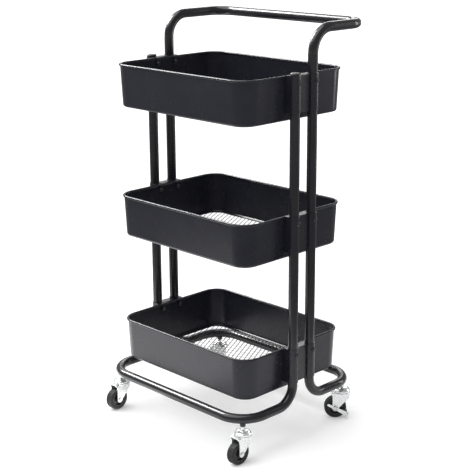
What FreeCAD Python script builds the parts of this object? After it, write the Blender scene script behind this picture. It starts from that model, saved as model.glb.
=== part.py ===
import FreeCAD, Part
import math
import os
import Sketcher

# Rolling three-tier pantry cart.
# Frame: origin on the floor under the cart's middle, +X along the baskets, +Y towards the
# handle bar (the rear), +Z up.  Every length is in millimetres.

VECTOR = FreeCAD.Vector
PLACE = FreeCAD.Placement
TURN = FreeCAD.Rotation
X_AXIS = VECTOR(1, 0, 0)
Z_AXIS = VECTOR(0, 0, 1)

SIZES = {
    # three equal baskets
    "lowest_rim": 212.0,        # floor to the rim top of the bottom basket
    "deck_pitch": 278.0,        # rim to rim
    "rim_length": 390.0,
    "rim_width": 298.0,
    "rim_corner": 40.0,         # outer corner of the rolled rim, in plan
    "rim_bead": 5.5,
    "basket_depth": 90.0,
    "wall_draft": 2.6,          # degrees that each wall leans out
    "wall_gauge": 0.8,
    "bottom_round": 6.0,
    "floor_ledge": 8.5,
    "floor_gauge": 0.6,
    "floor_play": 0.4,
    # tube frame
    "tube_diameter": 20.0,
    "tube_gauge": 1.0,
    "post_across": 209.0,       # tube axis to the cart's middle, along X
    "post_apart": 25.0,         # tube axis to the cart's middle, along Y
    "spigot_length": 40.0,
    "spigot_play": 0.1,
    "spigot_shoulder": 4.0,     # swaged part between the spigot and the full tube
    "seam_rise": 2.0,           # tube joints lie this far above the rims
    "base_level": 93.0,
    "base_reach": 170.0,
    "base_corner": 59.0,
    "foot_bend": 42.0,
    "handle_level": 854.0,
    "handle_corner": 43.0,
    "handle_bend": 48.0,
    "cap_height": 3.5,
    "cap_plug": 12.0,
    # pressed end brackets
    "bracket_gauge": 1.2,
    "bracket_rise": 18.0,       # bracket foot above the basket's bottom
    "sleeve_play": 0.1,
    "bracket_inset": 4.0,       # the blank starts inside the wall, then is trimmed to it
    "bracket_bulge": 2.0,       # web beyond the line of the posts
    "bracket_clear": 0.15,      # from the basket wall and the rolled rim
    "bead_clear": 0.45,         # below the rolled rim
    "flange_rise": 0.4,         # bracket flange above the rim
    # M5 screws with dome nuts
    "screw_drop": 12.5,         # screw axis below the rim top
    "screw_diameter": 5.0,
    "screw_hole": 5.4,
    "head_diameter": 9.6,
    "head_height": 3.0,
    "nut_diameter": 9.0,
    "nut_height": 7.0,
    "nut_stand": 0.6,           # off the wall's top edge, as the wall leans
    # casters
    "wheel_diameter": 48.0,
    "wheel_width": 18.0,
    "hub_diameter": 32.0,
    "rim_inset": 1.2,           # wheel centre's rim inside the tyre's side
    "boss_width": 19.6,
    "tread_groove": 0.8,
    "trail": 14.0,
    "stem_diameter": 8.0,
    "stem_top": 91.0,
    "stem_play": 0.05,
    "socket_diameter": 12.0,
    "socket_foot": 77.0,
    "race_diameter": 36.0,
    "race_top": 69.0,
    "crown_diameter": 39.0,
    "crown_top": 60.0,
    "fork_gauge": 2.0,
    "fork_gap": 20.6,
    "fork_toe": 6.5,            # radius of the leg's rounded end
    "hood_length": 10.0,        # crown plate behind the axle
    "hood_depth": 4.0,
    "axle_diameter": 6.0,
    "axle_play": 0.08,
    "ball_diameter": 3.2,
    "ball_circle": 24.0,
    "ball_sink": 0.45,          # depth of the ball groove in the crown
    "lever_gauge": 1.6,
    "lever_width": 9.0,
    "lever_play": 0.3,
    "lever_droop": -28.0,       # degrees below level, towards the front
    "shoe_gap": 1.6,            # brake shoe to tread
}

# Outlines as shares of a piece's own radius and height.
HEAD_OUTLINE = ((1.0, 0.0), (1.0, 0.35), (0.82, 0.78), (0.5, 1.0), (0.0, 1.0))
NUT_OUTLINE = ((1.0, 0.0), (1.0, 0.45), (0.86, 0.5), (0.72, 0.78), (0.4, 1.0), (0.0, 1.0))
NUT_BORE = 0.7

# Race cup: each pair is a distance in from the cup's edge, or out from the stem, then a
# height above the ball seat, or a depth below the cup's top.
SKIRT_OUTLINE = ((0.0, 0.6), (0.8, 2.0))
DOME_OUTLINE = ((3.0, 1.6), (6.5, 0.6))
NECK_OUTLINE = ((3.0, 1.4), (2.0, 0.0), (0.0, 0.0))

CHAMFER = 1.0
VOLUME_SLACK = 0.01     # share by which a swept tube may differ from area times length
BALLS = 14
CURL_FROM = -38.0   # degrees round the rim's section, from pointing outwards
CURL_TO = 278.0
WALL_OVERRUN = 1.4  # the wall runs this many gauges into the rolled rim
NEAR = 0.01         # two heights or lengths closer than this are the same
TIERS = ("bottom", "middle", "top")
SIDES = {"left": -1, "right": 1}
ROWS = {"front": -1, "rear": 1}
# heading of each caster, in degrees: 0 trails straight to the front
CASTERS = {
    "front_left": 0.0,
    "front_right": 0.0,
    "rear_left": -45.0,
    "rear_right": -45.0,
}
BRAKED = ("rear_left", "rear_right")


class Size:
    """A length, with the expression that works it out from the sheet."""

    def __init__(self, value, text):
        self.value = value
        self.text = text

    def joined(self, other, sign, value):
        return Size(value, f"({self.text} {sign} {as_size(other).text})")

    def __add__(self, other):
        return self.joined(other, "+", self.value + as_size(other).value)

    def __sub__(self, other):
        return self.joined(other, "-", self.value - as_size(other).value)

    def __mul__(self, other):
        return self.joined(other, "*", self.value * as_size(other).value)

    def __truediv__(self, other):
        return self.joined(other, "/", self.value / as_size(other).value)

    def __neg__(self):
        return self * -1


def as_size(number):
    """Gives a plain number the same form as a sheet size."""
    if isinstance(number, Size):
        return number
    return Size(float(number), f"({float(number):.6f})")


doc = FreeCAD.newDocument("PantryCart")
sheet = doc.addObject("Spreadsheet::Sheet", "Sizes")
for row, (alias, number) in enumerate(SIZES.items(), 1):
    sheet.set(f"A{row}", alias)
    sheet.set(f"B{row}", str(number))
    sheet.setAlias(f"B{row}", alias)
doc.recompute()


def cell(alias):
    return Size(float(sheet.get(alias)), f"Sizes.{alias}")


# Sizes that several pieces share.
WHEEL_R = cell("wheel_diameter") / 2
TUBE_R = cell("tube_diameter") / 2
BORE_R = TUBE_R - cell("tube_gauge")
SPIGOT_R = BORE_R - cell("spigot_play")
BEAD_R = cell("rim_bead") / 2
WALL_TOP = cell("basket_depth") - cell("rim_bead")
LEAN = math.tan(math.radians(cell("wall_draft").value))
TOP_X = cell("rim_length") / 2 - BEAD_R
TOP_Y = cell("rim_width") / 2 - BEAD_R
FOOT_X = TOP_X - WALL_TOP * LEAN
FOOT_Y = TOP_Y - WALL_TOP * LEAN
FOOT_CORNER = cell("rim_corner") - BEAD_R - WALL_TOP * LEAN
CORNER_SHIFT = cell("base_corner") * (1 - math.sqrt(0.5))
STEM_X = cell("post_across") - CORNER_SHIFT
STEM_Y = cell("base_reach") - CORNER_SHIFT
HANDLE_Y = STEM_Y + cell("trail") + WHEEL_R - TUBE_R
LEG_OUT = cell("fork_gap") / 2 + cell("fork_gauge")
BALL_R = cell("ball_diameter") / 2
BALL_LEVEL = cell("crown_top") + BALL_R - cell("ball_sink")


def rim_level(tier):
    return cell("lowest_rim") + cell("deck_pitch") * TIERS.index(tier)


# ---------------------------------------------------------------- document helpers

parts = []


def keep(piece, label, placement=None):
    """Names a sub-part, puts it in its place and lists it for export."""
    piece.Label = label
    if placement is not None:
        piece.Placement = placement
    parts.append(piece)
    return piece


def new_body(name):
    return doc.addObject("PartDesign::Body", name)


def origin_plane(body, role):
    return next(f for f in body.Origin.OriginFeatures if f.Role == role)


def new_sketch(body, role, level=None):
    """Attaches an empty sketch to one of the body's origin planes, raised by level."""
    sketch = body.newObject("Sketcher::SketchObject", body.Name + "Sketch")
    sketch.AttachmentSupport = [(origin_plane(body, role), "")]
    sketch.MapMode = "FlatFace"
    if level is not None:
        sketch.AttachmentOffset = PLACE(VECTOR(0, 0, level.value), TURN())
        sketch.setExpression("AttachmentOffset.Base.z", level.text)
    return sketch


def bind(sketch, kind, geometry, size):
    """Adds one dimension to a sketch and ties it to the sheet."""
    index = sketch.addConstraint(Sketcher.Constraint(kind, *geometry, size.value))
    sketch.setExpression(f"Constraints[{index}]", size.text)


def pin(sketch, geometry, point, x, y):
    bind(sketch, "DistanceX", (-1, 1, geometry, point), x)
    bind(sketch, "DistanceY", (-1, 1, geometry, point), y)


def draw_polygon(sketch, corners):
    """Draws a closed outline of straight lines."""
    corners = [(as_size(x), as_size(y)) for x, y in corners]
    spots = [VECTOR(x.value, y.value, 0) for x, y in corners]
    lines = [Part.LineSegment(a, b) for a, b in zip(spots, spots[1:] + spots[:1])]
    first = sketch.addGeometry(lines, False)[0]
    count = len(lines)
    for i in range(count):
        following = first + (i + 1) % count
        sketch.addConstraint(Sketcher.Constraint("Coincident", first + i, 2, following, 1))
    for i, (x, y) in enumerate(corners):
        pin(sketch, first + i, 1, x, y)


def draw_circle(sketch, x, y, radius):
    x, y = as_size(x), as_size(y)
    circle = Part.Circle(VECTOR(x.value, y.value, 0), Z_AXIS, radius.value)
    index = sketch.addGeometry(circle, False)
    pin(sketch, index, 3, x, y)
    bind(sketch, "Radius", (index,), radius)


def draw_rounded_rectangle(sketch, half_x, half_y, corner):
    """Draws a centred rectangle with four tangent corner arcs."""
    centres = []
    for sign_x, sign_y in ((1, 1), (-1, 1), (-1, -1), (1, -1)):
        centres.append(((half_x - corner) * sign_x, (half_y - corner) * sign_y))
    arcs = []
    for i, (x, y) in enumerate(centres):
        circle = Part.Circle(VECTOR(x.value, y.value, 0), Z_AXIS, corner.value)
        start = i * math.pi / 2
        arcs.append(Part.ArcOfCircle(circle, start, start + math.pi / 2))
    lines = []
    for i in range(4):
        lines.append(Part.LineSegment(arcs[i].EndPoint, arcs[(i + 1) % 4].StartPoint))
    first = sketch.addGeometry(arcs + lines, False)[0]
    for i in range(4):
        line = first + 4 + i
        following = first + (i + 1) % 4
        sketch.addConstraint(Sketcher.Constraint("Tangent", first + i, 2, line, 1))
        sketch.addConstraint(Sketcher.Constraint("Tangent", line, 2, following, 1))
        pin(sketch, first + i, 3, *centres[i])
        bind(sketch, "Radius", (first + i,), corner)


def add_pad(body, sketch, length, midplane=False, draft=None):
    pad = body.newObject("PartDesign::Pad", body.Name + "Pad")
    pad.Profile = sketch
    pad.Length = length.value
    pad.setExpression("Length", length.text)
    pad.Midplane = midplane
    if draft is not None:
        pad.TaperAngle = draft.value
        pad.setExpression("TaperAngle", draft.text)
    return pad


def add_pocket(body, sketch, length=None, down=True, draft=None):
    """Cuts a sketch out: to a depth, or right through both ways when length is None."""
    pocket = body.newObject("PartDesign::Pocket", body.Name + "Pocket")
    pocket.Profile = sketch
    if length is None:
        pocket.Type = "ThroughAll"
        pocket.Midplane = True
        return pocket
    pocket.Length = length.value
    pocket.setExpression("Length", length.text)
    pocket.Reversed = not down
    if draft is not None:
        pocket.TaperAngle = draft.value
        pocket.setExpression("TaperAngle", draft.text)
    return pocket


def add_turned(body, sketch, kind="PartDesign::Revolution"):
    """Turns a profile on the XZ plane about the body's Z axis."""
    turned = body.newObject(kind, body.Name + "Turned")
    turned.Profile = sketch
    turned.ReferenceAxis = (sketch, ["V_Axis"])
    turned.Angle = 360
    return turned


def add_fillet(body, base, edges, radius):
    fillet = body.newObject("PartDesign::Fillet", body.Name + "Fillet")
    fillet.Base = (base, edges)
    fillet.Radius = radius.value
    fillet.setExpression("Radius", radius.text)
    return fillet


def edges_where(feature, test):
    """Names the edges of a feature whose two ends and middle all pass a test."""
    names = []
    for i, edge in enumerate(feature.Shape.Edges, 1):
        middle = edge.valueAt((edge.FirstParameter + edge.LastParameter) / 2)
        spots = [vertex.Point for vertex in edge.Vertexes] + [middle]
        if all(test(spot) for spot in spots):
            names.append(f"Edge{i}")
    return names


def turned_piece(name, profile, label, placement=None):
    """Makes a whole sub-part by turning one profile of (radius, height) corners."""
    body = new_body(name)
    sketch = new_sketch(body, "XZ_Plane")
    draw_polygon(sketch, profile)
    add_turned(body, sketch)
    if label is None:
        body.Placement = placement
        return body
    return keep(body, label, placement)


# ---------------------------------------------------------------- baskets

def make_basket(tier):
    """Pressed tray wall with a rolled rim, a rounded foot and a ledge for the floor."""
    body = new_body("Basket")
    gauge = cell("wall_gauge")
    outline = new_sketch(body, "XY_Plane")
    draw_rounded_rectangle(outline, FOOT_X, FOOT_Y, FOOT_CORNER)
    block = add_pad(body, outline, WALL_TOP + gauge * WALL_OVERRUN, draft=cell("wall_draft"))
    rise = gauge * LEAN
    hollow = new_sketch(body, "XY_Plane", gauge)
    draw_rounded_rectangle(
        hollow, FOOT_X + rise - gauge, FOOT_Y + rise - gauge, FOOT_CORNER + rise - gauge)
    cut = add_pocket(body, hollow, cell("basket_depth"), down=False, draft=cell("wall_draft"))
    doc.recompute()
    if cut.Shape.Volume > block.Shape.Volume / 2:
        raise ValueError("the basket's hollow was not cut")
    floor_edges = edges_where(cut, lambda p: abs(p.z - gauge.value) < NEAR)
    inner = add_fillet(body, cut, floor_edges, cell("bottom_round") - gauge)
    doc.recompute()
    low_edges = edges_where(inner, lambda p: abs(p.z) < NEAR)
    add_fillet(body, inner, low_edges, cell("bottom_round"))

    ledge = cell("floor_ledge")
    opening = new_sketch(body, "XY_Plane")
    draw_rounded_rectangle(opening, FOOT_X - ledge, FOOT_Y - ledge, FOOT_CORNER - ledge)
    past_the_foot = gauge * 2
    add_pocket(body, opening, past_the_foot, down=False)

    holes = new_sketch(body, "YZ_Plane")
    for sign in (-1, 1):
        height = cell("basket_depth") - cell("screw_drop")
        draw_circle(holes, cell("post_apart") * sign, height, cell("screw_hole") / 2)
    drilled = add_pocket(body, holes)

    # the rim is rolled outwards into a hollow bead, open towards the wall
    path = new_sketch(body, "XY_Plane", WALL_TOP + BEAD_R)
    draw_rounded_rectangle(path, TOP_X, TOP_Y, cell("rim_corner") - BEAD_R)
    curl = new_sketch(body, "XZ_Plane")
    draw_curl(curl, TOP_X, WALL_TOP + BEAD_R, BEAD_R, BEAD_R - gauge)
    rim = body.newObject("PartDesign::AdditivePipe", "Rim")
    rim.Profile = curl
    rim.Spine = (path, [])
    doc.recompute()
    if rim.Shape.Volume <= drilled.Shape.Volume:
        raise ValueError("the rim was not added")
    base = rim_level(tier) - cell("basket_depth")
    return keep(body, f"{tier}_basket", PLACE(VECTOR(0, 0, base.value), TURN()))


def draw_curl(sketch, x, y, outer, inner):
    """Draws the section of the rolled rim: most of a ring, with a narrow slot below."""
    first_angle = math.radians(CURL_FROM)
    last_angle = math.radians(CURL_TO)
    centre = VECTOR(x.value, y.value, 0)
    arcs = []
    for radius in (outer, inner):
        circle = Part.Circle(centre, Z_AXIS, radius.value)
        arcs.append(Part.ArcOfCircle(circle, first_angle, last_angle))
    ends = [
        Part.LineSegment(arcs[0].StartPoint, arcs[1].StartPoint),
        Part.LineSegment(arcs[0].EndPoint, arcs[1].EndPoint),
    ]
    big, small, first, last = sketch.addGeometry(arcs + ends, False)
    for a, a_point, b, b_point in (
            (big, 1, first, 1), (small, 1, first, 2), (big, 2, last, 1), (small, 2, last, 2)):
        sketch.addConstraint(Sketcher.Constraint("Coincident", a, a_point, b, b_point))
    for arc, radius in ((big, outer), (small, inner)):
        pin(sketch, arc, 3, x, y)
        bind(sketch, "Radius", (arc,), radius)
    for point, angle in ((1, first_angle), (2, last_angle)):
        for arc, radius in ((big, outer), (small, inner)):
            bind(sketch, "DistanceX", (-1, 1, arc, point), x + radius * math.cos(angle))


def make_floor(tier):
    """Flat mesh panel that lies on the ledge, inside the rounded foot of the wall."""
    body = new_body("Floor")
    edge = cell("bottom_round") + cell("floor_play")
    outline = new_sketch(body, "XY_Plane")
    draw_rounded_rectangle(outline, FOOT_X - edge, FOOT_Y - edge, FOOT_CORNER - edge)
    add_pad(body, outline, cell("floor_gauge"))
    level = rim_level(tier) - cell("basket_depth") + cell("wall_gauge")
    return keep(body, f"{tier}_mesh_floor", PLACE(VECTOR(0, 0, level.value), TURN()))


# ---------------------------------------------------------------- end brackets

def make_bracket(tier, side):
    """Pressed bracket: two half-round sleeves, a web between them and a top flange."""
    body = new_body("Bracket")
    gauge = cell("bracket_gauge")
    sleeve_r = TUBE_R + cell("sleeve_play")
    across = cell("post_across")
    apart = cell("post_apart")
    height = cell("basket_depth") - cell("bracket_rise") + cell("flange_rise")
    inside = FOOT_X - cell("bracket_inset")
    margin = 1
    cheek = apart + sleeve_r

    plate = new_sketch(body, "XY_Plane")
    web = across + cell("bracket_bulge")
    draw_polygon(plate, [
        (inside, -(cheek + gauge)), (across, -(cheek + gauge)), (web, -apart),
        (web, apart), (across, cheek + gauge), (inside, cheek + gauge)])
    add_pad(body, plate, height)
    sleeves = new_sketch(body, "XY_Plane")
    for sign in (-1, 1):
        draw_circle(sleeves, across, apart * sign, sleeve_r + gauge)
    add_pad(body, sleeves, height)

    hollow = new_sketch(body, "XY_Plane")
    draw_polygon(hollow, [
        (inside - margin, -cheek), (across, -cheek), (web - gauge, -apart),
        (web - gauge, apart), (across, cheek), (inside - margin, cheek)])
    add_pocket(body, hollow, height - gauge, down=False)
    bores = new_sketch(body, "XY_Plane")
    for sign in (-1, 1):
        draw_circle(bores, across, apart * sign, sleeve_r)
    add_pocket(body, bores)

    # the cheeks follow the leaning basket wall and stop short of the rolled rim
    clear = cell("bracket_clear")
    under_bead = WALL_TOP - cell("bracket_rise") - cell("bead_clear")
    wall_low = FOOT_X + cell("bracket_rise") * LEAN + clear
    wall_high = TOP_X + clear
    beside_bead = TOP_X + BEAD_R + clear
    trim = new_sketch(body, "XZ_Plane")
    draw_polygon(trim, [
        (inside - margin, -margin), (wall_low, -margin), (wall_high, under_bead),
        (beside_bead, under_bead), (beside_bead, height + margin),
        (inside - margin, height + margin)])
    add_pocket(body, trim)

    holes = new_sketch(body, "YZ_Plane")
    for sign in (-1, 1):
        level = cell("basket_depth") - cell("screw_drop") - cell("bracket_rise")
        draw_circle(holes, apart * sign, level, cell("screw_hole") / 2)
    add_pocket(body, holes)
    foot = rim_level(tier) - cell("basket_depth") + cell("bracket_rise")
    turn = TURN(Z_AXIS, 0 if side == "right" else 180)
    return keep(body, f"{tier}_{side}_bracket", PLACE(VECTOR(0, 0, foot.value), turn))


# ---------------------------------------------------------------- screws and dome nuts

def make_fasteners(tier):
    """Four round-headed screws through sleeve, tube and basket wall, and their dome nuts."""
    shank_r = cell("screw_diameter") / 2
    head_r = cell("head_diameter") / 2
    head = cell("head_height")
    face = cell("post_across") + TUBE_R + cell("sleeve_play") + cell("bracket_gauge")
    wall = TOP_X - cell("wall_gauge") - cell("nut_stand")
    grip = face - wall
    nut_r = cell("nut_diameter") / 2
    nut = cell("nut_height")
    tip = nut * NUT_BORE
    screw_profile = [(0, -grip - tip), (shank_r, -grip - tip), (shank_r, 0)]
    screw_profile += [(head_r * out, head * up) for out, up in HEAD_OUTLINE]
    nut_profile = [(shank_r, 0)]
    nut_profile += [(nut_r * out, nut * up) for out, up in NUT_OUTLINE]
    nut_profile += [(0, tip), (shank_r, tip)]
    level = (rim_level(tier) - cell("screw_drop")).value
    screws = []
    nuts = []
    for side in SIDES.values():
        outwards = TURN(Z_AXIS, X_AXIS * side)
        inwards = TURN(Z_AXIS, X_AXIS * -side)
        for row in ROWS.values():
            y = cell("post_apart").value * row
            seat = VECTOR(face.value * side, y, level)
            screws.append(turned_piece("Screw", screw_profile, None, PLACE(seat, outwards)))
            seat = VECTOR(wall.value * side, y, level)
            nuts.append(turned_piece("DomeNut", nut_profile, None, PLACE(seat, inwards)))
    for name, group in (("screws", screws), ("dome_nuts", nuts)):
        compound = doc.addObject("Part::Compound", "Group")
        compound.Links = group
        keep(compound, f"{tier}_{name}")


# ---------------------------------------------------------------- tube frame

def bent_path(corners, radii):
    """Joins straight runs with tangent arcs, one radius for each inner corner."""
    edges = []
    start = corners[0]
    for i, radius in enumerate(radii, 1):
        corner = corners[i]
        back = (corners[i - 1] - corner).normalize()
        ahead = (corners[i + 1] - corner).normalize()
        half_turn = (math.pi - back.getAngle(ahead)) / 2
        setback = radius * math.tan(half_turn)
        first = corner + back * setback
        last = corner + ahead * setback
        bisector = (back + ahead).normalize()
        middle = corner + bisector * (radius / math.cos(half_turn) - radius)
        edges.append(Part.LineSegment(start, first).toShape())
        edges.append(Part.Arc(first, middle, last).toShape())
        start = last
    edges.append(Part.LineSegment(start, corners[-1]).toShape())
    return Part.Wire(edges)


def swept_rod(path, radius):
    first = path.Edges[0]
    ring = Part.Wire(Part.makeCircle(radius, first.valueAt(first.FirstParameter),
                                     first.tangentAt(first.FirstParameter)))
    rod = path.makePipeShell([ring], True, False)
    expected = math.pi * radius ** 2 * path.Length
    if abs(rod.Volume / expected - 1) > VOLUME_SLACK:
        raise ValueError("a bent tube came out with the wrong volume")
    return rod


def cross_holes(level, row):
    """Clearance rods for the screws through both tubes of one row."""
    rods = []
    reach = TUBE_R.value + 1
    for side in SIDES.values():
        centre = VECTOR(cell("post_across").value * side, row, level)
        start = centre - X_AXIS * reach
        rods.append(Part.makeCylinder(cell("screw_hole").value / 2, 2 * reach, start, X_AXIS))
    return rods


def make_base_loop(row):
    """Bent base tube: two risers, two side runs and the bar between the casters."""
    sign = ROWS[row]
    x = cell("post_across").value
    riser_y = cell("post_apart").value * sign
    bar_y = cell("base_reach").value * sign
    low = cell("base_level").value
    seam = (cell("lowest_rim") + cell("seam_rise")).value
    corners = [
        VECTOR(-x, riser_y, seam), VECTOR(-x, riser_y, low), VECTOR(-x, bar_y, low),
        VECTOR(x, bar_y, low), VECTOR(x, riser_y, low), VECTOR(x, riser_y, seam)]
    foot = cell("foot_bend").value
    plan = cell("base_corner").value
    path = bent_path(corners, [foot, plan, plan, foot])
    tube = swept_rod(path, TUBE_R.value).cut(swept_rod(path, BORE_R.value))
    tools = cross_holes(rim_level("bottom").value - cell("screw_drop").value, riser_y)
    socket_r = cell("socket_diameter").value / 2
    for side in SIDES.values():
        base = VECTOR(STEM_X.value * side, STEM_Y.value * sign, cell("socket_foot").value)
        tools.append(Part.makeCylinder(socket_r, low - base.z, base))
    feature = doc.addObject("Part::Feature", "BaseLoop")
    feature.Shape = tube.cut(Part.makeCompound(tools))
    return keep(feature, f"{row}_base_loop")


def make_post(tier, side, row):
    """Straight post with a swaged spigot below, which plugs into the tube beneath it."""
    body = new_body("Post")
    length = cell("deck_pitch")
    spigot = cell("spigot_length")
    spigot_bore = SPIGOT_R - cell("tube_gauge")
    shoulder = cell("spigot_shoulder")
    swage = 2
    profile = new_sketch(body, "XZ_Plane")
    draw_polygon(profile, [
        (spigot_bore, -spigot), (SPIGOT_R, -spigot), (SPIGOT_R, 0), (TUBE_R, 0),
        (TUBE_R, length), (BORE_R, length), (BORE_R, shoulder + swage), (spigot_bore, shoulder)])
    add_turned(body, profile)
    holes = new_sketch(body, "YZ_Plane")
    below_seam = cell("screw_drop") + cell("seam_rise")
    for level in (length - below_seam, -below_seam):
        draw_circle(holes, 0, level, cell("screw_hole") / 2)
    add_pocket(body, holes)
    seam = rim_level(tier) + cell("seam_rise")
    x = cell("post_across").value * SIDES[side]
    y = cell("post_apart").value * ROWS[row]
    name = {"bottom": "lower", "middle": "upper"}[tier]
    return keep(body, f"{name}_post_{row}_{side}", PLACE(VECTOR(x, y, seam.value), TURN()))


def make_cap(side):
    """Moulded plug that closes the open top of a front post."""
    plug_r = BORE_R - cell("spigot_play")
    height = cell("cap_height")
    plug = cell("cap_plug")
    edge = 1.2
    side_height = height * 0.6
    profile = [
        (0, -plug), (plug_r - CHAMFER, -plug), (plug_r, -plug + CHAMFER), (plug_r, 0),
        (TUBE_R, 0), (TUBE_R, side_height), (TUBE_R - edge, height), (0, height)]
    seam = rim_level("top") + cell("seam_rise")
    x = cell("post_across").value * SIDES[side]
    place = PLACE(VECTOR(x, -cell("post_apart").value, seam.value), TURN())
    return turned_piece("Cap", profile, f"post_cap_{side}", place)


def make_handle():
    """One bent tube: two risers, two rearward runs and the push bar."""
    x = cell("post_across").value
    riser_y = cell("post_apart").value
    bar_y = HANDLE_Y.value
    top = cell("handle_level").value
    seam = (rim_level("top") + cell("seam_rise")).value
    corners = [
        VECTOR(-x, riser_y, seam), VECTOR(-x, riser_y, top), VECTOR(-x, bar_y, top),
        VECTOR(x, bar_y, top), VECTOR(x, riser_y, top), VECTOR(x, riser_y, seam)]
    bend = cell("handle_bend").value
    plan = cell("handle_corner").value
    path = bent_path(corners, [bend, plan, plan, bend])
    tube = swept_rod(path, TUBE_R.value).cut(swept_rod(path, BORE_R.value))
    shoulder = cell("spigot_shoulder").value
    spigot_bore = (SPIGOT_R - cell("tube_gauge")).value
    for side in SIDES.values():
        end = VECTOR(x * side, riser_y, seam - cell("spigot_length").value)
        long = cell("spigot_length").value + shoulder
        collar = Part.makeCylinder(BORE_R.value, shoulder, VECTOR(x * side, riser_y, seam))
        spigot = Part.makeCylinder(SPIGOT_R.value, long, end).fuse(collar)
        tube = tube.fuse(spigot.cut(Part.makeCylinder(spigot_bore, long, end)))
    level = rim_level("top").value - cell("screw_drop").value
    feature = doc.addObject("Part::Feature", "Handle")
    feature.Shape = tube.cut(Part.makeCompound(cross_holes(level, riser_y))).removeSplitter()
    return keep(feature, "handle_tube")


# ---------------------------------------------------------------- casters
# Each caster is drawn about its own stem: Z is the stem, on the floor, and it trails to -Y.

def make_socket(place):
    """Threaded boss welded into the underside of the base tube."""
    socket_r = cell("socket_diameter") / 2
    stem_r = cell("stem_diameter") / 2 + cell("stem_play")
    foot = cell("socket_foot")
    inside_tube = 3
    lead_in = 1.5
    top = cell("base_level") - BORE_R + inside_tube
    profile = [
        (stem_r, foot), (socket_r - CHAMFER, foot), (socket_r, foot + lead_in),
        (socket_r, top), (stem_r, top)]
    return turned_piece("Socket", profile, None, place)


def make_stem(place, name):
    """Stem with its domed race cup, and the riveted head that carries the fork."""
    stem_r = cell("stem_diameter") / 2
    race_r = cell("race_diameter") / 2
    top = cell("race_top")
    stem_top = cell("stem_top")
    skin = 1.5
    ball_play = 0.1
    lip_gap = 0.5
    rivet_gap = 1.2
    rivet_flange = 2.5
    rivet_height = 3
    seat = BALL_LEVEL + BALL_R + ball_play
    lip = cell("crown_top") + lip_gap
    rivet = cell("crown_top") - cell("fork_gauge") - rivet_gap
    rivet_foot = rivet - rivet_height
    rivet_r = stem_r + rivet_flange
    profile = [
        (0, rivet_foot), (rivet_r - CHAMFER, rivet_foot), (rivet_r, rivet_foot + CHAMFER),
        (rivet_r, rivet), (stem_r, rivet), (stem_r, seat), (race_r - skin, seat),
        (race_r - skin, lip), (race_r, lip)]
    profile += [(race_r - inward, seat + up) for inward, up in SKIRT_OUTLINE]
    profile += [(race_r - inward, top - down) for inward, down in DOME_OUTLINE]
    profile += [(stem_r + outward, top - down) for outward, down in NECK_OUTLINE]
    profile += [(stem_r, stem_top - CHAMFER), (stem_r - CHAMFER, stem_top), (0, stem_top)]
    return turned_piece("Stem", profile, f"{name}_stem", place)


def make_balls(place, name):
    """Ring of balls between the race cup and the fork's crown."""
    balls = []
    for i in range(BALLS):
        ball = doc.addObject("Part::Sphere", "Ball")
        ball.Radius = BALL_R.value
        ball.setExpression("Radius", BALL_R.text)
        angle = math.radians(360 * i / BALLS)
        spoke = VECTOR(math.cos(angle), math.sin(angle), 0)
        centre = spoke * (cell("ball_circle").value / 2) + VECTOR(0, 0, BALL_LEVEL.value)
        ball.Placement = PLACE(centre, TURN())
        balls.append(ball)
    group = doc.addObject("Part::Compound", "Balls")
    group.Links = balls
    return keep(group, f"{name}_bearing_balls", place)


def make_fork(place, name):
    """Pressed fork: round crown with a ball groove, and two tapering legs."""
    body = new_body("Fork")
    trail = cell("trail")
    toe = cell("fork_toe")
    top = cell("crown_top")
    gauge = cell("fork_gauge")
    crown_r = cell("crown_diameter") / 2
    width = LEG_OUT * 2
    lead_inset = 4
    lead = crown_r - lead_inset
    back = -trail - toe
    tail = -trail - cell("hood_length")
    hood = cell("hood_depth")
    waist = top - hood * 2      # where the trailing edge turns straight down
    brow = top - hood * 3       # where the leading edge starts back to the toe
    legs = new_sketch(body, "YZ_Plane")
    draw_polygon(legs, [
        (lead, top), (tail, top), (tail, top - hood), (back, waist), (back, WHEEL_R),
        (-trail + toe, WHEEL_R), (lead - CHAMFER, brow)])
    add_pad(body, legs, width, midplane=True)
    ends = new_sketch(body, "YZ_Plane")
    draw_circle(ends, -trail, WHEEL_R, toe)
    folded = add_pad(body, ends, width, midplane=True)
    doc.recompute()
    shoulders = edges_where(
        folded, lambda p: abs(p.z - top.value) < NEAR and abs(abs(p.x) - LEG_OUT.value) < NEAR)
    inner_fold = 1
    add_fillet(body, folded, shoulders, gauge + inner_fold)

    slot = new_sketch(body, "XZ_Plane")
    half = cell("fork_gap") / 2
    roof = top - gauge
    bevel = 1.5
    draw_polygon(slot, [
        (-half, 0), (half, 0), (half, roof - bevel), (half - bevel, roof),
        (-half + bevel, roof), (-half, roof - bevel)])
    add_pocket(body, slot)
    crown = new_sketch(body, "XY_Plane", roof)
    draw_circle(crown, 0, 0, crown_r)
    disc = add_pad(body, crown, gauge)
    doc.recompute()

    groove_play = 0.1
    rivet_play = 0.06
    press_play = 0.02
    groove = new_sketch(body, "XZ_Plane")
    draw_circle(groove, cell("ball_circle") / 2, BALL_LEVEL, BALL_R + groove_play)
    add_turned(body, groove, "PartDesign::Groove")
    bore = new_sketch(body, "XY_Plane")
    draw_circle(bore, 0, 0, cell("stem_diameter") / 2 + rivet_play)
    drilled = add_pocket(body, bore)
    axle_holes = new_sketch(body, "YZ_Plane")
    draw_circle(axle_holes, -trail, WHEEL_R, cell("axle_diameter") / 2 + press_play)
    add_pocket(body, axle_holes)
    doc.recompute()
    if drilled.Shape.Volume >= disc.Shape.Volume:
        raise ValueError("the fork's crown was not drilled")
    return keep(body, f"{name}_fork", place)


def wheel_place(place):
    """Turns a piece drawn about Z on to the wheel's axis."""
    hub = VECTOR(0, -cell("trail").value, WHEEL_R.value)
    return place.multiply(PLACE(hub, TURN(Z_AXIS, X_AXIS)))


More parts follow.
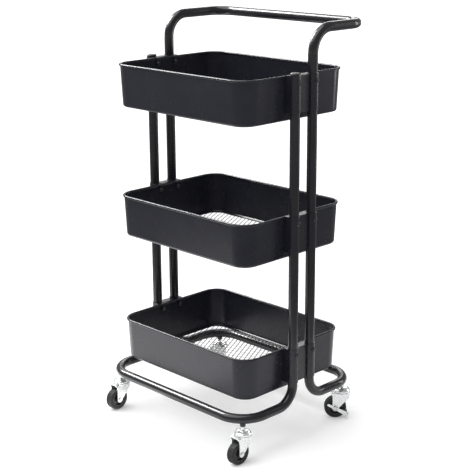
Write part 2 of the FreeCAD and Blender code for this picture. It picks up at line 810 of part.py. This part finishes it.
def make_axle(place, name, braked):
    """Riveted axle; a braked caster's is longer by the lever's thickness."""
    axle_r = cell("axle_diameter") / 2
    flange = 2.2
    head_r = axle_r + flange
    head = 1.8
    side_play = 0.1
    lever_end_play = 0.2
    low = -LEG_OUT - side_play
    high = LEG_OUT + side_play
    if braked:
        high = high + cell("lever_play") + cell("lever_gauge") + lever_end_play
    profile = [
        (0, low - head), (head_r - CHAMFER, low - head), (head_r, low - head + CHAMFER),
        (head_r, low), (axle_r, low), (axle_r, high), (head_r, high),
        (head_r, high + head - CHAMFER), (head_r - CHAMFER, high + head), (0, high + head)]
    return turned_piece("Axle", profile, f"{name}_axle", wheel_place(place))


def make_hub(place, name):
    """Moulded wheel centre: bored boss, thin web and rim."""
    bore = cell("axle_diameter") / 2 + cell("axle_play")
    boss_wall = 3.6
    boss_flare = 0.8
    boss_r = bore + boss_wall
    boss = cell("boss_width") / 2
    rim_r = cell("hub_diameter") / 2
    rim = cell("wheel_width") / 2 - cell("rim_inset")
    rim_wall = 1.8
    rim_flare = 0.6
    web = 3
    ledge = rim_r - rim_wall
    right = [
        (bore, boss), (boss_r, boss), (boss_r + boss_flare, web), (ledge - rim_flare, web),
        (ledge, rim), (rim_r, rim)]
    left = [(radius, -as_size(height)) for radius, height in reversed(right)]
    return turned_piece("Hub", right + left, f"{name}_wheel_hub", wheel_place(place))


def make_tyre(place, name):
    """Tyre with rounded shoulders and three shallow grooves round the tread."""
    body = new_body("Tyre")
    half = cell("wheel_width") / 2
    inner = cell("hub_diameter") / 2
    seat = half - cell("rim_inset")
    depth = cell("tread_groove")
    groove = 0.7
    groove_pitch = 3.6
    bead_height = 2.5
    shoulder_round = 3.2
    tread = [(WHEEL_R, half)]
    for centre in (groove_pitch, 0, -groove_pitch):
        tread += [
            (WHEEL_R, centre + groove), (WHEEL_R - depth, centre + groove / 2),
            (WHEEL_R - depth, centre - groove / 2), (WHEEL_R, centre - groove)]
    tread.append((WHEEL_R, -half))
    sketch = new_sketch(body, "XZ_Plane")
    draw_polygon(sketch, [
        (inner, -seat), (inner, seat), (inner + bead_height, half), *tread,
        (inner + bead_height, -half)])
    turned = add_turned(body, sketch)
    doc.recompute()
    shoulders = edges_where(
        turned, lambda p: math.hypot(p.x, p.y) > WHEEL_R.value - NEAR
        and abs(abs(p.z) - half.value) < NEAR)
    add_fillet(body, turned, shoulders, as_size(shoulder_round))
    return keep(body, f"{name}_tyre", wheel_place(place))


def make_lever(place, name):
    """Side brake lever: a strip on the axle with a shoe over the tread and a foot tab."""
    body = new_body("Lever")
    gauge = cell("lever_gauge")
    half = cell("lever_width") / 2
    near = LEG_OUT + cell("lever_play")
    droop = math.radians(cell("lever_droop").value)
    along = (math.cos(droop), math.sin(droop))
    beside = (-along[1], along[0])

    def spot(reach, offset):
        reach, offset = as_size(reach), as_size(offset)
        return (reach * along[0] + offset * beside[0], reach * along[1] + offset * beside[1])

    tail_inset = 4.5
    tail_taper = 2
    tip_reach = 5.5
    eye_wall = 1.5
    foot_tab = as_size(9)
    shoe_reach = as_size(5)     # past the wheel's middle plane
    tail = -(WHEEL_R - tail_inset)
    tip = WHEEL_R + tip_reach
    strip = new_sketch(body, "YZ_Plane", near)
    draw_polygon(strip, [
        spot(tail, -half + tail_taper), spot(tip, -half), spot(tip, half),
        spot(tail, half - tail_taper)])
    add_pad(body, strip, gauge)
    eye = new_sketch(body, "YZ_Plane", near)
    draw_circle(eye, 0, 0, half + eye_wall)
    add_pad(body, eye, gauge)
    for reach, length, level in (
            (tip - gauge, foot_tab, near),
            (WHEEL_R + cell("shoe_gap"), near + gauge + shoe_reach, -shoe_reach)):
        tab = new_sketch(body, "YZ_Plane", level)
        draw_polygon(tab, [
            spot(reach, -half), spot(reach + gauge, -half), spot(reach + gauge, half),
            spot(reach, half)])
        add_pad(body, tab, length)
    bore = new_sketch(body, "YZ_Plane")
    draw_circle(bore, 0, 0, cell("axle_diameter") / 2 + cell("axle_play"))
    add_pocket(body, bore)
    axle = VECTOR(0, -cell("trail").value, WHEEL_R.value)
    return keep(body, f"{name}_brake_lever", place.multiply(PLACE(axle, TURN())))


def make_caster(name, heading):
    row, side = name.split("_")
    stem = VECTOR(STEM_X.value * SIDES[side], STEM_Y.value * ROWS[row], 0)
    place = PLACE(stem, TURN(Z_AXIS, heading))
    braked = name in BRAKED
    sockets.append(make_socket(place))
    make_stem(place, name)
    make_balls(place, name)
    make_fork(place, name)
    make_axle(place, name, braked)
    make_hub(place, name)
    make_tyre(place, name)
    if braked:
        make_lever(place, name)


# ---------------------------------------------------------------- the cart

for tier_name in TIERS:
    make_basket(tier_name)
    make_floor(tier_name)
    make_fasteners(tier_name)
    for side_name in SIDES:
        make_bracket(tier_name, side_name)
for row_name in ROWS:
    make_base_loop(row_name)
for tier_name in TIERS[:2]:
    for side_name in SIDES:
        for row_name in ROWS:
            make_post(tier_name, side_name, row_name)
for side_name in SIDES:
    make_cap(side_name)
make_handle()
sockets = []
for caster_name, heading_angle in CASTERS.items():
    make_caster(caster_name, heading_angle)
socket_group = doc.addObject("Part::Compound", "Sockets")
socket_group.Links = sockets
keep(socket_group, "caster_sockets")
doc.recompute()

for item in doc.Objects:
    if {"Invalid", "Error"} & set(item.State):
        raise ValueError(f"{item.Label} failed: {item.State}")
for part in parts:
    if part.Shape.isNull() or not part.Shape.isValid():
        raise ValueError(f"{part.Label} has no valid shape")

os.makedirs("parts", exist_ok=True)
for part in parts:
    part.Shape.exportStep(f"parts/{part.Label}.step")
    box = part.Shape.BoundBox
    print(f"{part.Label:28s} {len(part.Shape.Solids):3d} solids {part.Shape.Volume / 1000:9.3f} cm3"
          f"  x {box.XMin:7.1f} {box.XMax:7.1f}  y {box.YMin:7.1f} {box.YMax:7.1f}"
          f"  z {box.ZMin:6.1f} {box.ZMax:6.1f}")
print(len(parts), "nodes")
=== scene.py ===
import math

import bpy
from mathutils import Matrix, Vector


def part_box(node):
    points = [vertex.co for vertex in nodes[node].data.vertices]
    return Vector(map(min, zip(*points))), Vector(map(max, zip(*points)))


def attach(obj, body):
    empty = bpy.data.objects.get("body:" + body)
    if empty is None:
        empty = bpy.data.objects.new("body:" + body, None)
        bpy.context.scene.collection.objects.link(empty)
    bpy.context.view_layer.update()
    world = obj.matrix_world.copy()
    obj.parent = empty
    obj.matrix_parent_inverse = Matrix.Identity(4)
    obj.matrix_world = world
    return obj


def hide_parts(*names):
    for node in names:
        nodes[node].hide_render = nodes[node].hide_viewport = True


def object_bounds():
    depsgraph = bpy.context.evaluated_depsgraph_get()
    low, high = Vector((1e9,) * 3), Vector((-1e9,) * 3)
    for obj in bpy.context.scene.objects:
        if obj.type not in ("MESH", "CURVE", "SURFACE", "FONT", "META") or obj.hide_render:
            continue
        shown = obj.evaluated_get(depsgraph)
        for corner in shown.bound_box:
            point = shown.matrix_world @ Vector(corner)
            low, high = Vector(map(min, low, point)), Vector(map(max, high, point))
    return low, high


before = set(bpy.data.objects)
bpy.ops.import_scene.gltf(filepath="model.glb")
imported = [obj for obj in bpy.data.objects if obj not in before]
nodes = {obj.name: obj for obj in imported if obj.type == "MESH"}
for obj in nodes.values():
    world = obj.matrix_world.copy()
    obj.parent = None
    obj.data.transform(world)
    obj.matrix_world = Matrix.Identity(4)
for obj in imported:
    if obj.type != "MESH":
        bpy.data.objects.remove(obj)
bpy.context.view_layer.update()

# Rolling three-tier pantry cart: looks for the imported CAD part, in metres.

scene = bpy.context.scene

TIERS = ("bottom", "middle", "top")
SIDES = ("left", "right")
ROWS = ("front", "rear")
CASTERS = ("front_left", "front_right", "rear_left", "rear_right")


# ---------------------------------------------------------------- material helpers

class Look:
    """A Principled material with its position-driven texture nodes."""

    def __init__(self, name, metallic=0.0, specular=0.5):
        self.material = bpy.data.materials.new(name)
        self.material.use_nodes = True
        self.tree = self.material.node_tree
        self.shader = self.tree.nodes["Principled BSDF"]
        self.shader.inputs["Metallic"].default_value = metallic
        self.shader.inputs["Specular IOR Level"].default_value = specular
        self.place = self.tree.nodes.new("ShaderNodeTexCoord").outputs["Object"]
        self.height = None

    def link(self, out, into):
        self.tree.links.new(out, into)

    def noise(self, scale, detail=3.0, roughness=0.5, stretch=None):
        """Gives a noise value; scale is in cycles per metre."""
        node = self.tree.nodes.new("ShaderNodeTexNoise")
        node.inputs["Scale"].default_value = scale
        node.inputs["Detail"].default_value = detail
        node.inputs["Roughness"].default_value = roughness
        source = self.place
        if stretch is not None:
            mapping = self.tree.nodes.new("ShaderNodeMapping")
            mapping.inputs["Scale"].default_value = stretch
            self.link(self.place, mapping.inputs["Vector"])
            source = mapping.outputs["Vector"]
        self.link(source, node.inputs["Vector"])
        return node.outputs["Fac"]

    def spread(self, value, low, high, start=0.3, end=0.7):
        """Maps a texture value on to the range low to high."""
        node = self.tree.nodes.new("ShaderNodeMapRange")
        node.inputs["From Min"].default_value = start
        node.inputs["From Max"].default_value = end
        node.inputs["To Min"].default_value = low
        node.inputs["To Max"].default_value = high
        self.link(value, node.inputs["Value"])
        return node.outputs["Result"]

    def blend(self, amount, first, second):
        """Mixes two colours by a texture value."""
        node = self.tree.nodes.new("ShaderNodeMix")
        node.data_type = "RGBA"
        colours = [s for s in node.inputs if s.type == "RGBA"]
        factor = next(s for s in node.inputs if s.type == "VALUE")
        self.link(amount, factor)
        for socket, colour in zip(colours, (first, second)):
            if isinstance(colour, tuple):
                socket.default_value = (*colour, 1.0)
            else:
                self.link(colour, socket)
        return next(s for s in node.outputs if s.type == "RGBA")

    def colour(self, value):
        self.link(value, self.shader.inputs["Base Color"])

    def roughness(self, value):
        self.link(value, self.shader.inputs["Roughness"])

    def bump(self, value, distance, strength=1.0):
        """Adds a fine relief on top of any that is already there."""
        node = self.tree.nodes.new("ShaderNodeBump")
        node.inputs["Strength"].default_value = strength
        node.inputs["Distance"].default_value = distance
        self.link(value, node.inputs["Height"])
        if self.height is not None:
            self.link(self.height, node.inputs["Normal"])
        self.height = node.outputs["Normal"]
        self.link(self.height, self.shader.inputs["Normal"])


# Each material takes two ends of its tone and, where it varies, of its roughness.
# The distances of the bumps are in metres.

BLACK_SPECK = (0.09, 0.09, 0.10)
DUST_GREY = (0.070, 0.068, 0.065)
STAIN_GREY = (0.58, 0.58, 0.59)


def powder_coat(name, dark, light, roughness, peel, specular):
    """Baked powder paint: cloudy tone, patchy gloss, orange peel and a fine grain."""
    grain = peel * 0.25
    look = Look(name, specular=specular)
    cloud = look.spread(look.noise(9.0, detail=4.0, roughness=0.55), 0.0, 1.0)
    tone = look.blend(cloud, dark, light)
    speck = look.spread(look.noise(2600.0, detail=1.0), 0.0, 0.05, start=0.62, end=0.75)
    look.colour(look.blend(speck, tone, BLACK_SPECK))
    look.roughness(look.spread(look.noise(30.0, detail=5.0, roughness=0.6), *roughness))
    look.bump(look.noise(420.0, detail=2.0), peel)
    look.bump(look.noise(3200.0, detail=1.0), grain)
    return look.material


def zinc_plate(name, dark, light, roughness):
    """Bright zinc plate: bluish and yellowish clouds, fine grain and light rubbing."""
    look = Look(name, metallic=0.7)
    cloud = look.spread(look.noise(70.0, detail=4.0, roughness=0.6), 0.0, 1.0)
    tone = look.blend(cloud, dark, light)
    stain_noise = look.noise(240.0, detail=5.0, roughness=0.65)
    stain = look.spread(stain_noise, 0.0, 0.45, start=0.55, end=0.8)
    look.colour(look.blend(stain, tone, STAIN_GREY))
    look.roughness(look.spread(look.noise(160.0, detail=4.0, roughness=0.6), *roughness))
    look.bump(look.noise(900.0, detail=2.0, stretch=(1.0, 1.0, 0.25)), 0.00003)
    return look.material


def bright_steel(name, dark, light, roughness):
    """Turned and ground steel, with marks across the piece."""
    look = Look(name, metallic=1.0)
    cloud = look.spread(look.noise(120.0), 0.0, 1.0)
    look.colour(look.blend(cloud, dark, light))
    look.roughness(look.spread(look.noise(500.0), *roughness))
    look.bump(look.noise(1800.0, detail=2.0, stretch=(0.3, 1.0, 1.0)), 0.00004)
    return look.material


def black_screw(name, dark, light, roughness):
    """Black zinc on small fasteners: half glossy, with clouds of tone."""
    look = Look(name, metallic=0.55)
    cloud = look.spread(look.noise(300.0, detail=4.0, roughness=0.6), 0.0, 1.0)
    look.colour(look.blend(cloud, dark, light))
    look.roughness(look.spread(look.noise(700.0), *roughness))
    look.bump(look.noise(2400.0, detail=2.0), 0.00004)
    return look.material


def moulded_plastic(name, dark, light, roughness):
    """Injection-moulded plastic with a spark-eroded grain."""
    look = Look(name, specular=0.45)
    cloud = look.spread(look.noise(60.0), 0.0, 1.0)
    look.colour(look.blend(cloud, dark, light))
    look.roughness(look.spread(look.noise(220.0, detail=4.0), *roughness))
    look.bump(look.noise(2000.0, detail=2.0), 0.00006)
    return look.material


def rolled_rubber(name, dark, light, roughness):
    """Rolled rubber: dull black, dusty grey in patches, with a scuffed skin."""
    look = Look(name, specular=0.35)
    cloud = look.spread(look.noise(150.0, detail=5.0, roughness=0.65), 0.0, 1.0)
    tone = look.blend(cloud, dark, light)
    dust_noise = look.noise(45.0, detail=5.0, roughness=0.7)
    dust = look.spread(dust_noise, 0.0, 0.4, start=0.52, end=0.8)
    look.colour(look.blend(dust, tone, DUST_GREY))
    look.roughness(look.spread(look.noise(380.0, detail=4.0), *roughness))
    look.bump(look.noise(1500.0), 0.00012)
    return look.material


def studio_paper(name, dark, light, glow=0.0):
    """Seamless paper: a barely uneven grey tone and a fine tooth."""
    look = Look(name, specular=0.2)
    look.shader.inputs["Emission Color"].default_value = (1.0, 1.0, 1.0, 1.0)
    look.shader.inputs["Emission Strength"].default_value = glow
    cloud = look.spread(look.noise(1.6), 0.0, 1.0)
    look.colour(look.blend(cloud, (dark, dark, dark), (light, light, light)))
    look.roughness(look.spread(look.noise(6.0, detail=2.0), 0.75, 0.85))
    look.bump(look.noise(700.0, detail=2.0), 0.00004)
    return look.material


BASKET_COAT = powder_coat(
    "basket_powder_coat", dark=(0.012, 0.0125, 0.019), light=(0.017, 0.0175, 0.025),
    roughness=(0.23, 0.29), peel=0.00001, specular=0.29)
TUBE_COAT = powder_coat(
    "tube_powder_coat", dark=(0.010, 0.010, 0.013), light=(0.015, 0.015, 0.018),
    roughness=(0.18, 0.27), peel=0.000006, specular=0.42)
BRACKET_COAT = powder_coat(
    "bracket_powder_coat", dark=(0.007, 0.007, 0.011), light=(0.011, 0.011, 0.016),
    roughness=(0.24, 0.33), peel=0.000008, specular=0.42)
MESH_COAT = powder_coat(
    "mesh_powder_coat", dark=(0.007, 0.007, 0.010), light=(0.013, 0.013, 0.017),
    roughness=(0.28, 0.42), peel=0.00002, specular=0.4)
ZINC = zinc_plate(
    "bright_zinc", dark=(0.76, 0.79, 0.81), light=(0.88, 0.88, 0.86), roughness=(0.16, 0.32))
STEEL = bright_steel(
    "ground_steel", dark=(0.50, 0.50, 0.51), light=(0.68, 0.68, 0.69), roughness=(0.16, 0.34))
SCREW_BLACK = black_screw(
    "black_zinc", dark=(0.020, 0.020, 0.023), light=(0.055, 0.054, 0.056),
    roughness=(0.22, 0.42))
CAP_PLASTIC = moulded_plastic(
    "cap_plastic", dark=(0.016, 0.016, 0.017), light=(0.026, 0.026, 0.027),
    roughness=(0.42, 0.56))
WHEEL_PLASTIC = moulded_plastic(
    "wheel_nylon", dark=(0.012, 0.012, 0.013), light=(0.024, 0.024, 0.025),
    roughness=(0.38, 0.52))
TREAD = rolled_rubber(
    "tread_rubber", dark=(0.010, 0.010, 0.011), light=(0.026, 0.026, 0.027),
    roughness=(0.5, 0.8))


def paint(node, material):
    mesh = nodes[node].data
    mesh.materials.clear()
    mesh.materials.append(material)


for tier in TIERS:
    paint(f"{tier}_basket", BASKET_COAT)
    paint(f"{tier}_mesh_floor", MESH_COAT)
    paint(f"{tier}_screws", SCREW_BLACK)
    paint(f"{tier}_dome_nuts", SCREW_BLACK)
    for side in SIDES:
        paint(f"{tier}_{side}_bracket", BRACKET_COAT)
for row in ROWS:
    paint(f"{row}_base_loop", TUBE_COAT)
    for side in SIDES:
        paint(f"lower_post_{row}_{side}", TUBE_COAT)
        paint(f"upper_post_{row}_{side}", TUBE_COAT)
for side in SIDES:
    paint(f"post_cap_{side}", CAP_PLASTIC)
paint("handle_tube", TUBE_COAT)
paint("caster_sockets", TUBE_COAT)
for caster in CASTERS:
    paint(f"{caster}_stem", ZINC)
    paint(f"{caster}_bearing_balls", STEEL)
    paint(f"{caster}_fork", ZINC)
    paint(f"{caster}_axle", STEEL)
    paint(f"{caster}_wheel_hub", WHEEL_PLASTIC)
    paint(f"{caster}_tyre", TREAD)
    if f"{caster}_brake_lever" in nodes:
        paint(f"{caster}_brake_lever", ZINC)


# ---------------------------------------------------------------- expanded mesh floors

DIAMOND_X = 0.0111       # short way of one diamond
DIAMOND_Y = 0.0205       # long way
STRAND = 0.0014
SHEET = 0.0006
BORDER = 0.0025          # flattened edge band that lies on the basket's ledge
CORNER = 0.0270
OVERLAP = 0.0004         # how far the strands run into the band
SHORTEST = 0.0006        # strands cut shorter than this are left out
STRAND_ROLL = 0.35       # height that a strand's roll takes, as a share of the sheet
CORNER_STEPS = 10
HALVINGS = 12            # steps in the search for where a strand meets the band


def mesh_piece(name, verts, faces, material):
    mesh = bpy.data.meshes.new(name)
    mesh.from_pydata(verts, [], faces)
    mesh.validate()
    mesh.materials.append(material)
    piece = bpy.data.objects.new(name, mesh)
    scene.collection.objects.link(piece)
    return piece


def rounded_outline(half_x, half_y, corner):
    """Points round a centred rectangle with arc corners, anticlockwise."""
    points = []
    for quarter, (sign_x, sign_y) in enumerate(((1, 1), (-1, 1), (-1, -1), (1, -1))):
        centre_x = sign_x * (half_x - corner)
        centre_y = sign_y * (half_y - corner)
        for step in range(CORNER_STEPS + 1):
            angle = (quarter + step / CORNER_STEPS) * math.pi / 2
            points.append((centre_x + corner * math.cos(angle), centre_y + corner * math.sin(angle)))
    return points


def inside_outline(x, y, half_x, half_y, corner):
    over_x = abs(x) - (half_x - corner)
    over_y = abs(y) - (half_y - corner)
    if over_x <= 0 or over_y <= 0:
        return over_x <= corner and over_y <= corner
    return math.hypot(over_x, over_y) <= corner


def clip_to_outline(start, end, outline):
    """Shortens a segment whose start is inside so that it ends on the outline."""
    low, high = 0.0, 1.0
    for _ in range(HALVINGS):
        middle = (low + high) / 2
        x = start[0] + (end[0] - start[0]) * middle
        y = start[1] + (end[1] - start[1]) * middle
        if inside_outline(x, y, *outline):
            low = middle
        else:
            high = middle
    return (start[0] + (end[0] - start[0]) * low, start[1] + (end[1] - start[1]) * low)


def add_band(verts, faces, half_x, half_y, base):
    """Adds the flat border of a panel."""
    outer = rounded_outline(half_x, half_y, CORNER)
    inner = rounded_outline(half_x - BORDER, half_y - BORDER, CORNER - BORDER)
    count = len(outer)
    for z in (base, base + SHEET):
        for ring in (outer, inner):
            verts.extend((x, y, z) for x, y in ring)
    for i in range(count):
        j = (i + 1) % count
        faces.append((i, i + count, j + count, j))
        faces.append((i + 2 * count, j + 2 * count, j + 3 * count, i + 3 * count))
        faces.append((i, j, j + 2 * count, i + 2 * count))
        faces.append((i + count, i + 3 * count, j + 3 * count, j + count))


def add_strand(verts, faces, start, end, base, lean):
    """Adds one strand: a thin bar rolled a little to the side that it leans to."""
    along = Vector((end[0] - start[0], end[1] - start[1], 0)).normalized()
    side = Vector((-along.y, along.x, 0)) * (STRAND / 2)
    tilt = SHEET * STRAND_ROLL
    low = tilt * (0.5 - lean)
    high = tilt * (0.5 + lean)
    first = len(verts)
    for x, y in (start, end):
        verts.append((x - side.x, y - side.y, base + high))
        verts.append((x + side.x, y + side.y, base + low))
        verts.append((x + side.x, y + side.y, base + SHEET - high))
        verts.append((x - side.x, y - side.y, base + SHEET - low))
    for k in range(4):
        following = (k + 1) % 4
        faces.append((first + k, first + following, first + 4 + following, first + 4 + k))
    faces.append((first + 3, first + 2, first + 1, first))
    faces.append((first + 4, first + 5, first + 6, first + 7))


def expanded_mesh(name, tier):
    """One slit and stretched steel panel, with a flat band round it."""
    low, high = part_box(f"{tier}_mesh_floor")
    half_x = (high.x - low.x) / 2
    half_y = (high.y - low.y) / 2
    verts = []
    faces = []
    add_band(verts, faces, half_x, half_y, low.z)
    shrink = BORDER - OVERLAP
    reach = (half_x - shrink, half_y - shrink, CORNER - shrink)
    columns = int(half_x / DIAMOND_X) + 2
    lines = 2 * int(half_y / DIAMOND_Y) + 4
    for i in range(-columns, columns + 1):
        for j in range(-lines, lines + 1):
            x = (i + (0.5 if j % 2 else 0.0)) * DIAMOND_X
            y = j * DIAMOND_Y / 2
            for lean in (-0.5, 0.5):
                start = (x, y)
                end = (x + lean * DIAMOND_X, y + DIAMOND_Y / 2)
                start_in = inside_outline(*start, *reach)
                end_in = inside_outline(*end, *reach)
                if not start_in and not end_in:
                    continue
                if not end_in:
                    end = clip_to_outline(start, end, reach)
                if not start_in:
                    start = clip_to_outline(end, start, reach)
                if math.dist(start, end) > SHORTEST:
                    add_strand(verts, faces, start, end, low.z, lean)
    return mesh_piece(name, verts, faces, MESH_COAT)


for tier in TIERS:
    panel = expanded_mesh(f"{tier}_expanded_mesh", tier)
    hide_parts(f"{tier}_mesh_floor")
    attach(panel, "frame")


# ---------------------------------------------------------------- floor, light and camera

FLOOR_HALF = 60.0
FLOOR_GAP = 0.0002       # floor below the tyres
CARD_INNER = 0.78        # radii of the dark ring round the cart that is seen only in reflections: painted dark reflection
CARD_OUTER = 9.0
CARD_RISE = 0.001        # ring above the tyres' feet
GLOW_RISE = 0.002        # lowest light above the floor
RING_STEPS = 64


def stage_plane(name, half, material):
    verts = [(-half, -half, 0), (half, -half, 0), (half, half, 0), (-half, half, 0)]
    return mesh_piece(name, verts, [(0, 1, 2, 3)], material)


def dark_reflection_ring(name, inner, outer, material):
    """A flat dark ring that is seen only in reflections: a painted dark reflection that deepens the
    black paint.
    """
    verts = []
    for radius in (inner, outer):
        for i in range(RING_STEPS):
            angle = 2 * math.pi * i / RING_STEPS
            verts.append((radius * math.cos(angle), radius * math.sin(angle), 0))
    faces = []
    for i in range(RING_STEPS):
        j = (i + 1) % RING_STEPS
        faces.append((i, i + RING_STEPS, j + RING_STEPS, j))
    card = mesh_piece(name, verts, faces, material)
    card.visible_camera = False
    card.visible_diffuse = False
    card.visible_shadow = False
    card.visible_transmission = False
    return card


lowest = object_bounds()[0].z
pale_paper = studio_paper("pale_paper", dark=0.86, light=0.89, glow=0.25)
# grey paper for the ring that is seen only in reflections: painted dark reflection in the black
# paint
painted_reflection_paper = studio_paper("painted_reflection_paper", dark=0.20, light=0.23)
ground = stage_plane("studio_floor", FLOOR_HALF, pale_paper)
ground.location.z = lowest - FLOOR_GAP
# dark ring hidden from the camera and from light, seen only in reflections: painted dark reflection
# on the paint
card = dark_reflection_ring("painted_reflection_card", CARD_INNER, CARD_OUTER, painted_reflection_paper)
card.location.z = lowest + CARD_RISE


def add_lamp(name, light, place, target):
    lamp = bpy.data.objects.new(name, light)
    lamp.location = place
    aim = Vector(target) - Vector(place)
    lamp.rotation_euler = aim.to_track_quat("-Z", "Y").to_euler()
    lamp.visible_camera = False
    scene.collection.objects.link(lamp)
    return lamp


def reflected_box(name, place, target, size, radiance):
    """A rectangular light of a set brightness that is seen only in reflections."""
    light = bpy.data.lights.new(name, "AREA")
    light.shape = "RECTANGLE"
    light.size, light.size_y = size
    light.energy = radiance * math.pi * size[0] * size[1]
    lamp = add_lamp(name, light, place, target)
    lamp.visible_diffuse = False


MIDDLE = (0.0, 0.0, 0.45)
sun = bpy.data.lights.new("soft_sun", "SUN")
sun.energy = 3.4
sun.angle = math.radians(70)
add_lamp("soft_sun", sun, (-1.0, -1.2, 4.0), MIDDLE)
reflected_box("left_box", (-2.3, -0.5, 2.5), MIDDLE, size=(1.0, 1.7), radiance=38.0)
reflected_box("rear_strip", (1.5, 2.7, 1.0), MIDDLE, size=(0.35, 1.9), radiance=9.0)
reflected_box("rim_strip", (-2.6, 2.6, 2.3), MIDDLE, size=(2.6, 1.0), radiance=5.0)
glow_place = Vector((-0.45, -0.48, ground.location.z + GLOW_RISE))
above_glow = (glow_place.x, glow_place.y, 1.0)
reflected_box("floor_glow", glow_place, above_glow, size=(0.7, 0.75), radiance=1.5)

world = bpy.data.worlds.new("studio")
scene.world = world
world.use_nodes = True
background = world.node_tree.nodes["Background"]
background.inputs["Color"].default_value = (1.0, 1.0, 1.0, 1.0)
background.inputs["Strength"].default_value = 0.35

LENS = 89.37             # millimetres, on a sensor 36 mm wide
SENSOR = 36.0
FARTHEST = 200.0
CAMERA_PLACE = Vector((1.7234, -1.6787, 1.0898))
YAW = math.radians(45.3622)
PITCH = math.radians(15.961)     # downwards
ROLL = math.radians(0.2799)


def camera_pose():
    """Turns yaw, pitch and roll into the camera's place and heading."""
    level_ahead = Vector((-math.sin(YAW), math.cos(YAW), 0.0))
    ahead = level_ahead * math.cos(PITCH) - Vector((0.0, 0.0, math.sin(PITCH)))
    across = Vector((math.cos(YAW), math.sin(YAW), 0.0))
    below = ahead.cross(across)
    rolled_across = across * math.cos(ROLL) + below * math.sin(ROLL)
    rolled_below = below * math.cos(ROLL) - across * math.sin(ROLL)
    pose = Matrix((rolled_across, -rolled_below, -ahead)).transposed().to_4x4()
    pose.translation = CAMERA_PLACE
    return pose


camera_data = bpy.data.cameras.new("camera")
camera_data.sensor_width = SENSOR
camera_data.lens = LENS
camera_data.clip_end = FARTHEST
camera = bpy.data.objects.new("camera", camera_data)
scene.collection.objects.link(camera)
camera.matrix_world = camera_pose()
scene.camera = camera

scene.view_settings.view_transform = "Standard"
